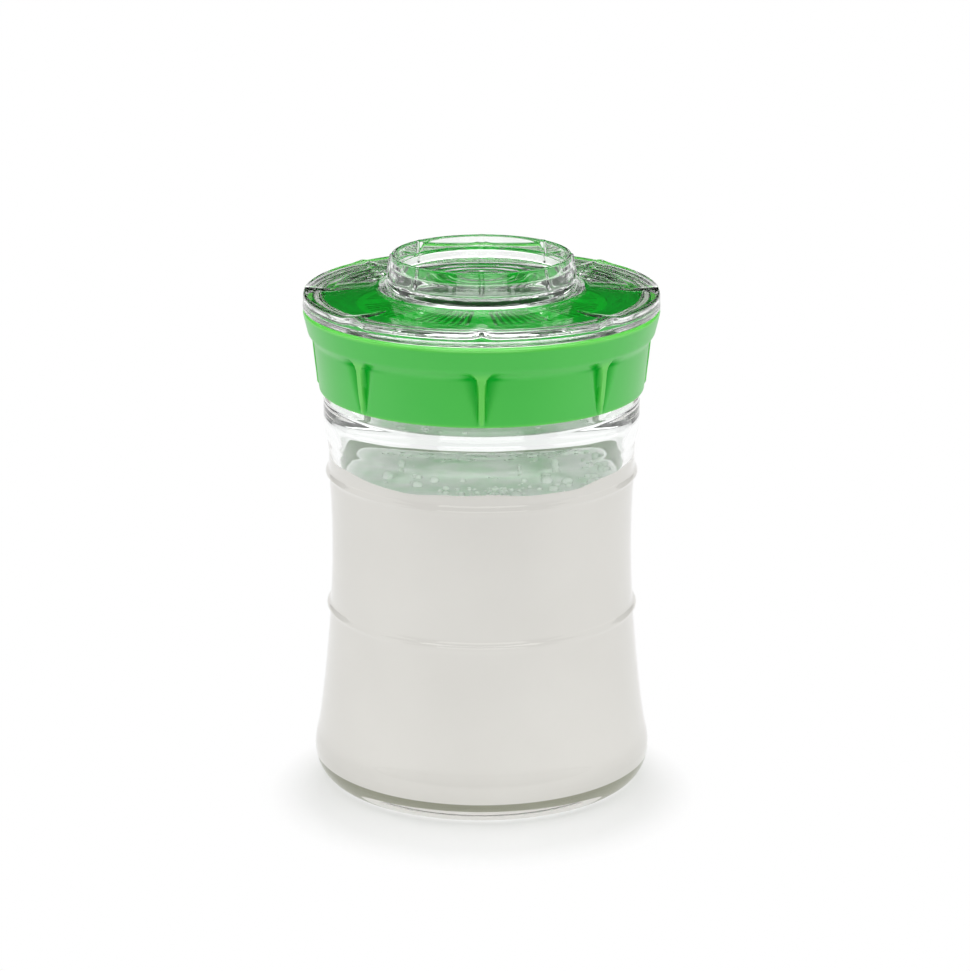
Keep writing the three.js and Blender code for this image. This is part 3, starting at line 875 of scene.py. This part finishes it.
# Pleats, which widen outwards over the plate and lift only the upper part of the rim
PLATE_OUTER = 52.4
NOTCH_OUTER = 54.6
PLEAT_INNER = 38.0
PLEAT_HALF_RIM = 4.4
PLEAT_HALF_INNER = 0.6
PLEAT_FALL = 1.3
PLEAT_RIDGE = 0.15
PLEAT_RIDGE_RISE = 0.12
PLEAT_FOOT = 150.4
PLEAT_RAMP = 1.2
RIM_SPAN = (50.0, 51.5)
RIM_FOOT_RISE = 2.4
RIM_RAMP = 1.2


def floor_ring(radius, height):
    """Depth of the rings in the collar's floor, as a share."""
    if height < FLOOR_UNDERSIDE:
        return 0.0
    wave = 0.5 - 0.5 * math.cos(2 * math.pi * radius / RIPPLE_PITCH)
    return wave * (1 - smoothstep(*RIPPLE_END, radius))


def collar_seam(radius, across, height):
    """Height of the seams on the collar's outside, as a share."""
    if radius <= COLLAR_RADIUS - (height - COLLAR_BASE) * COLLAR_LEAN:
        return 0.0
    return smoothstep(*SEAM_START, height) * math.exp(-((across / SEAM_SPREAD) ** 2))


def pleat_shares(radius, across, height):
    """How far a pleat sets the cap back here and how far it lifts it, as shares."""
    share = min(1.0, max(0.0, (radius - PLEAT_INNER) / (PLATE_OUTER - PLEAT_INNER)))
    half = PLEAT_HALF_INNER + (PLEAT_HALF_RIM - PLEAT_HALF_INNER) * share**3
    aside = across / half
    if aside > PLEAT_RIDGE:
        weight = max(0.0, 1 - aside) ** PLEAT_FALL
    else:
        ridge = 1 - (aside / PLEAT_RIDGE) ** 2
        weight = (1 - PLEAT_RIDGE) ** PLEAT_FALL + PLEAT_RIDGE_RISE * ridge
    rim = smoothstep(*RIM_SPAN, radius)
    foot = PLEAT_FOOT + RIM_FOOT_RISE * rim
    lift = weight * smoothstep(foot, foot + PLEAT_RAMP + RIM_RAMP * rim, height)
    return lift * smoothstep(PLATE_OUTER, NOTCH_OUTER, radius), lift * share


def cap_folds(settings):
    """The move that gives the cap its pleats, collar seams and floor rings."""
    pleat = settings.pleat / MM
    notch = settings.notch / MM
    seam = settings.seam / MM
    ripple = settings.ripple / MM

    def move(radius, angle, height):
        across = from_fold(angle) * radius
        if radius < FLOOR_RADIUS:
            return 0, -ripple * floor_ring(radius, height)
        if radius < COLLAR_OUTER and height > SEAM_START[0]:
            return seam * collar_seam(radius, across, height), 0
        back, lift = pleat_shares(radius, across, height)
        return -notch * back, pleat * lift

    return move


class KEFIR_OT_cap(bpy.types.Operator):
    """Builds the clear cap with its pleats, raised collar and ringed floor"""

    bl_idname = "kefir_jar.cap"
    bl_label = "Build the clear cap"

    def execute(self, context):
        settings = context.scene.kefir_jar.cap
        bm = spun(stepped(rounded(CAP_OUTLINE), CAP_STEP), CAP_COLUMNS)
        crowd_columns(bm, CAP_CROWDING)
        reshape(bm, cap_folds(settings))
        plastic = clear_material(
            "cap_plastic", settings.tint, ior=1.49, wave_scale=60.0, wave_height=0.01
        )
        place(bm, "cap_of_lid", [plastic], "cap", ["clear_cap"])
        return {"FINISHED"}


# The kefir

KEFIR_COLUMNS = 128
KEFIR_STEP = 4.0
KEFIR_OVERLAP = 0.12
WAIST = 80.0
HEEL_TOP = 12.0
# Slopes of the kefir's underside faces that get the painted shadow
SHADOWED_UNDERSIDE_SLOPES = (-0.985, -0.7)
TOP_SLOPE = 0.8

# Film that climbs the glass, higher at the sides, with an uneven edge of waves round the jar
FILM_RADIUS = 43.8
FILM_WIDTH = 2.5
FILM_FALL = 2.5
FILM_STEPS = 8
FILM_FOOT = 0.2
FILM_SIDES = (0.6, 1.0)
FILM_WAVES = ((3, 0.35), (7, 0.3), (16, 0.15))
POOL_RADIUS = 20.0

# Bubbles, scattered over the top and crowded into a patch of froth in front
BUBBLE_SEED = 11
BUBBLE_FIELD = (40.0, 38.0)
BUBBLE_CROWDING = (2.0, 1.4)
BUBBLE_SPREAD = (0.35, 1.0)
BUBBLE_RADIUS = 1.9
BUBBLE_FLATTENING = 0.85
BUBBLE_RISE = 0.3
FROTH_PLACE = -29.0
FROTH_PATCH = (13.0, 8.0)
FROTH_RADII = (0.4, 0.9)


def inside_radius(height):
    """Radius of the jar's inner wall at a height above its waist."""
    wall = [p for p in INSIDE_LINE if p.y > WAIST]
    above = min((p for p in wall if p.y >= height), key=lambda p: p.y)
    below = max((p for p in wall if p.y < height), key=lambda p: p.y)
    return below.lerp(above, (height - below.y) / (above.y - below.y)).x


def kefir_outline(floor, level, climb):
    """The kefir's outline: its floor, the glass, the film on the glass and its top."""
    outline = [Vector((0, floor - KEFIR_OVERLAP))]
    for point in reversed(INSIDE_LINE):
        if point.y < level + climb:
            down = KEFIR_OVERLAP if point.y < HEEL_TOP else 0
            outline.append(Vector((point.x + KEFIR_OVERLAP, point.y - down)))
    edge = FILM_RADIUS + KEFIR_OVERLAP
    for k in range(FILM_STEPS + 1):
        t = k / FILM_STEPS
        outline.append(Vector((edge - FILM_WIDTH * t, level + climb * (1 - t) ** FILM_FALL)))
    return outline + [Vector((POOL_RADIUS, level)), Vector((0, level))]


def uneven_film(level, climb, extra):
    """The move that raises the film at the sides and gives it an uneven edge."""

    def move(radius, angle, height):
        share = smoothstep(level + FILM_FOOT, level + climb, height)
        if not share:
            return 0, 0
        waves = sum(rise * math.sin(number * angle) for number, rise in FILM_WAVES)
        sides = smoothstep(*FILM_SIDES, abs(math.cos(angle)))
        up = share * (waves + extra * sides)
        return share * (inside_radius(height + up) - inside_radius(height)), up

    return move


def add_bubble(bm, side, depth, level, size):
    """Adds a slightly flat bubble that stands more than half out of the kefir."""
    made = bmesh.ops.create_uvsphere(bm, u_segments=8, v_segments=6, radius=size * MM)
    bmesh.ops.scale(bm, vec=(1, 1, BUBBLE_FLATTENING), verts=made["verts"])
    spot = Vector((side, depth, level + BUBBLE_RISE * size)) * MM
    bmesh.ops.translate(bm, vec=spot, verts=made["verts"])


def bubbles(settings):
    """A bmesh of the bubbles and the froth."""
    draw = random.Random(BUBBLE_SEED)
    level = settings.level / MM
    bm = bmesh.new()
    across, deep = BUBBLE_FIELD
    for _ in range(settings.bubbles):
        side = draw.betavariate(*BUBBLE_CROWDING) * 2 - 1
        depth = draw.uniform(-1, 1) * math.sqrt(max(0.0, 1 - side**2))
        size = draw.uniform(*BUBBLE_SPREAD) ** 2 * BUBBLE_RADIUS
        add_bubble(bm, side * across, depth * deep, level, size)
    across, deep = FROTH_PATCH
    for _ in range(settings.froth_bubbles):
        turn = draw.uniform(0, 2 * math.pi)
        out = math.sqrt(draw.random())
        side = out * math.cos(turn) * across
        depth = FROTH_PLACE + out * math.sin(turn) * deep
        add_bubble(bm, side, depth, level, draw.uniform(*FROTH_RADII))
    return bm


class KEFIR_OT_kefir(bpy.types.Operator):
    """Fills the jar with kefir that has a wet top and bubbles"""

    bl_idname = "kefir_jar.kefir"
    bl_label = "Fill with kefir"

    def execute(self, context):
        settings = context.scene.kefir_jar.kefir
        floor = context.scene.kefir_jar.jar.floor / MM
        level = settings.level / MM
        climb = settings.meniscus / MM
        bm = spun(stepped(kefir_outline(floor, level, climb), KEFIR_STEP), KEFIR_COLUMNS)
        reshape(bm, uneven_film(level, climb, settings.film / MM))
        for face in bm.faces:
            # Underside faces over the glass foot get the painted shadow
            if SHADOWED_UNDERSIDE_SLOPES[0] < face.normal.z < SHADOWED_UNDERSIDE_SLOPES[1]:
                face.material_index = 2
            elif face.normal.z > TOP_SLOPE:
                face.material_index = 1
        body = kefir_body("kefir_white", settings.colour, settings.shade)
        # Wet top painted lighter than the body, with painted green reflection in its darker tone
        wet = kefir_surface("kefir_wet_top_painted_light", settings.wet, settings.wet_painted_green_reflection, settings.depth)
        foot = kefir_body("kefir_foot_painted_shadow", settings.foot, settings.foot_painted_shadow_dark)
        place(bm, "kefir", [body, wet, foot], "jar", ["kefir_fill"])
        foam = kefir_surface("kefir_bubble", settings.froth, settings.wet, 0)
        place(bubbles(settings), "kefir_bubbles", [foam], "jar")
        return {"FINISHED"}


# The seals


class KEFIR_OT_seals(bpy.types.Operator):
    """Gives the two seals their silicone"""

    bl_idname = "kefir_jar.seals"
    bl_label = "Finish the seals"

    def execute(self, context):
        settings = context.scene.kefir_jar.seals
        rubber = soft_silicone("seal_silicone", settings.colour, settings.shade)
        for name in ("jar_seal", "cap_seal"):
            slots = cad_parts[name].material_slots
            if not slots:
                raise RuntimeError(f"{name} has no material slot")
            for slot in slots:
                slot.material = rubber
        return {"FINISHED"}


# The stage, in metres

FLOOR_HALF = 2.5
FLOOR_MIDDLE = (0, 0.9, -0.0003)
FLOOR_COLOUR = (0.86, 0.86, 0.86, 1)

# The floor keeps its shadow in a round patch a little in front of the jar's middle, and glows plain
# white outside it;
# under the jar it glows too, a painted light standing in for light through the glass foot; far in
# front it glows less on what reflects it
SHADOW_FORWARD = 0.02
SHADOW_INNER = (0.052, 0.05)
SHADOW_OUTER = (0.067, 1.0)
UNDER_JAR_PAINTED_LIGHT = (0.046, 0.05)
FAR_FRONT = (-0.42, -0.18)
FAR_FRONT_GLOW = 0.45

# Height of the studio's bright band over the horizon, and how it dims towards the front
BAND_TOP = (0.075, 0.95)
DARK_FOOT = (0.13, 0.02)
FRONT_SPAN = (-0.8, -0.2)
FRONT_DIMMING = (0.15, 1.0)

# Each lamp's name, place, target, size and radiance
LAMPS = (
    ("light_above", (0, 0.1, 1.1), (0, 0, 0), (1.2, 1.0), 3.4),
    ("light_front", (0, -1.25, 0.6), (0, 0, 0.08), (1.6, 0.9), 2.2),
    ("light_left", (-1.0, 0, 0.5), (0, 0, 0.1), (1.2, 0.9), 1.0),
    ("light_right", (1.0, 0, 0.5), (0, 0, 0.1), (1.2, 0.9), 1.0),
    ("light_behind", (0, 0.18, 0.1435), (0, 0, 0.1), (0.14, 0.012), 1.6),
)


def softbox(name, place_at, target, size, radiance):
    """A rectangular soft light that faces a target."""
    light = bpy.data.lights.new(name, "AREA")
    light.shape = "RECTANGLE"
    light.size, light.size_y = size
    light.energy = radiance * math.pi * size[0] * size[1]
    lamp = bpy.data.objects.new(name, light)
    lamp.location = place_at
    aim = Vector(target) - Vector(place_at)
    lamp.rotation_euler = aim.to_track_quat("-Z", "Y").to_euler()
    lamp.visible_camera = False
    bpy.context.scene.collection.objects.link(lamp)


def grey(stop):
    """A stop of a colour ramp from its position and brightness."""
    position, brightness = stop
    return position, (brightness, brightness, brightness)


def distance_from(tree, point):
    """How far a place on an object is from a point of it."""
    coordinates = tree.nodes.new("ShaderNodeTexCoord")
    shift = tree.nodes.new("ShaderNodeVectorMath")
    shift.operation = "SUBTRACT"
    shift.inputs[1].default_value = point
    far = tree.nodes.new("ShaderNodeVectorMath")
    far.operation = "LENGTH"
    joined(
        tree,
        (coordinates.outputs["Object"], shift.inputs[0]),
        (shift.outputs["Vector"], far.inputs[0]),
    )
    return far.outputs["Value"]


def white_floor(name):
    """A white floor that keeps the jar's shadow near it, is plain white further off and glows under
    the jar, a painted light.
    """
    material, tree, shader = new_material(name)
    shader.inputs["Base Color"].default_value = FLOOR_COLOUR
    shader.inputs["Roughness"].default_value = 0.9
    shader.inputs["Specular IOR Level"].default_value = 0.0
    from_shadow = distance_from(tree, (0, -SHADOW_FORWARD, 0))
    outside = ramped(tree, from_shadow, grey(SHADOW_INNER), grey(SHADOW_OUTER))
    # Painted light: the floor glows under the jar, standing in for light through the glass foot
    under = mapped(tree, distance_from(tree, (0, 0, 0)), UNDER_JAR_PAINTED_LIGHT, (1.0, 0.0))
    coordinates = tree.nodes.new("ShaderNodeTexCoord")
    parts = tree.nodes.new("ShaderNodeSeparateXYZ")
    joined(tree, (coordinates.outputs["Object"], parts.inputs[0]))
    path = tree.nodes.new("ShaderNodeLightPath")
    reflected = mapped(tree, parts.outputs["Y"], FAR_FRONT, (FAR_FRONT_GLOW, 1.0))
    glow = tree.nodes.new("ShaderNodeEmission")
    strength = greater(tree, reflected, path.outputs["Is Camera Ray"])
    joined(tree, (strength, glow.inputs["Strength"]))
    output = tree.nodes["Material Output"]
    share = greater(tree, outside, under)
    mixed(tree, share, shader.outputs["BSDF"], glow.outputs["Emission"], output)
    return material


def studio_world(scene):
    """A dim studio above the white floor, white where the camera looks at it."""
    world = bpy.data.worlds.new("studio")
    world.use_nodes = True
    tree = world.node_tree
    direction = tree.nodes.new("ShaderNodeTexCoord")
    parts = tree.nodes.new("ShaderNodeSeparateXYZ")
    joined(tree, (direction.outputs["Generated"], parts.inputs[0]))
    rise = ramped(tree, parts.outputs["Z"], grey(BAND_TOP), grey(DARK_FOOT))
    front = mapped(tree, parts.outputs["Y"], FRONT_SPAN, FRONT_DIMMING)
    shaded = tree.nodes.new("ShaderNodeVectorMath")
    shaded.operation = "SCALE"
    studio = tree.nodes["Background"]
    joined(
        tree,
        (rise, shaded.inputs[0]),
        (front, shaded.inputs["Scale"]),
        (shaded.outputs["Vector"], studio.inputs["Color"]),
    )
    plain = tree.nodes.new("ShaderNodeBackground")
    plain.inputs["Color"].default_value = (1, 1, 1, 1)
    seen = tree.nodes.new("ShaderNodeLightPath").outputs["Is Camera Ray"]
    output = tree.nodes["World Output"]
    mixed(tree, seen, studio.outputs["Background"], plain.outputs["Background"], output)
    scene.world = world


def add_floor(scene):
    """Lays the floor."""
    bm = bmesh.new()
    bmesh.ops.create_grid(bm, x_segments=4, y_segments=4, size=FLOOR_HALF)
    bmesh.ops.translate(bm, vec=FLOOR_MIDDLE, verts=bm.verts)
    mesh = bpy.data.meshes.new("floor")
    bm.to_mesh(mesh)
    bm.free()
    mesh.materials.append(white_floor("floor_white"))
    floor = bpy.data.objects.new("floor", mesh)
    scene.collection.objects.link(floor)


def add_camera(scene, settings):
    """Sets the camera at the photo's angle."""
    lens = bpy.data.cameras.new("camera")
    lens.lens = settings.lens
    lens.sensor_fit = "HORIZONTAL"
    lens.clip_start = 0.01
    camera = bpy.data.objects.new("camera", lens)
    camera.location = (0, -settings.distance, settings.height)
    camera.rotation_euler = (math.pi / 2 - settings.pitch, 0, -settings.yaw)
    scene.collection.objects.link(camera)
    scene.camera = camera


class KEFIR_OT_stage(bpy.types.Operator):
    """Sets the floor, the soft studio light and the camera"""

    bl_idname = "kefir_jar.stage"
    bl_label = "Set the stage"

    def execute(self, context):
        scene = context.scene
        add_floor(scene)
        for lamp in LAMPS:
            softbox(*lamp)
        studio_world(scene)
        scene.view_settings.view_transform = "Standard"
        scene.cycles.use_denoising = True
        scene.cycles.max_bounces = 24
        scene.cycles.transmission_bounces = 20
        scene.cycles.glossy_bounces = 12
        scene.cycles.transparent_max_bounces = 24
        add_camera(scene, scene.kefir_jar.stage)
        return {"FINISHED"}


class KEFIR_PT_jar(bpy.types.Panel):
    """Lists the pieces of the kefir jar and their settings"""

    bl_idname = "KEFIR_PT_jar"
    bl_label = "Kefir jar"
    bl_space_type = "VIEW_3D"
    bl_region_type = "UI"
    bl_category = "Kefir jar"

    def draw(self, context):
        settings = context.scene.kefir_jar
        for operator, group in (
            (KEFIR_OT_jar, settings.jar),
            (KEFIR_OT_ring, settings.ring),
            (KEFIR_OT_strainer, None),
            (KEFIR_OT_cap, settings.cap),
            (KEFIR_OT_seals, settings.seals),
            (KEFIR_OT_kefir, settings.kefir),
            (KEFIR_OT_stage, settings.stage),
        ):
            box = self.layout.box()
            box.operator(operator.bl_idname)
            if group:
                for name in group.__annotations__:
                    box.prop(group, name)


CLASSES = (
    JarSettings, RingSettings, CapSettings, KefirSettings, SealSettings, StageSettings,
    KefirJarSettings, KEFIR_OT_jar, KEFIR_OT_ring, KEFIR_OT_strainer, KEFIR_OT_cap,
    KEFIR_OT_seals, KEFIR_OT_kefir, KEFIR_OT_stage, KEFIR_PT_jar,
)


def register():
    for cls in CLASSES:
        bpy.utils.register_class(cls)
    bpy.types.Scene.kefir_jar = bpy.props.PointerProperty(
        type=KefirJarSettings, name="Kefir jar", description="Settings of the kefir jar"
    )


def unregister():
    del bpy.types.Scene.kefir_jar
    for cls in reversed(CLASSES):
        bpy.utils.unregister_class(cls)


def main():
    register()
    bpy.ops.kefir_jar.jar()
    bpy.ops.kefir_jar.ring()
    bpy.ops.kefir_jar.strainer()
    bpy.ops.kefir_jar.cap()
    bpy.ops.kefir_jar.seals()
    bpy.ops.kefir_jar.kefir()
    bpy.ops.kefir_jar.stage()


if __name__ == "__main__":
    main()
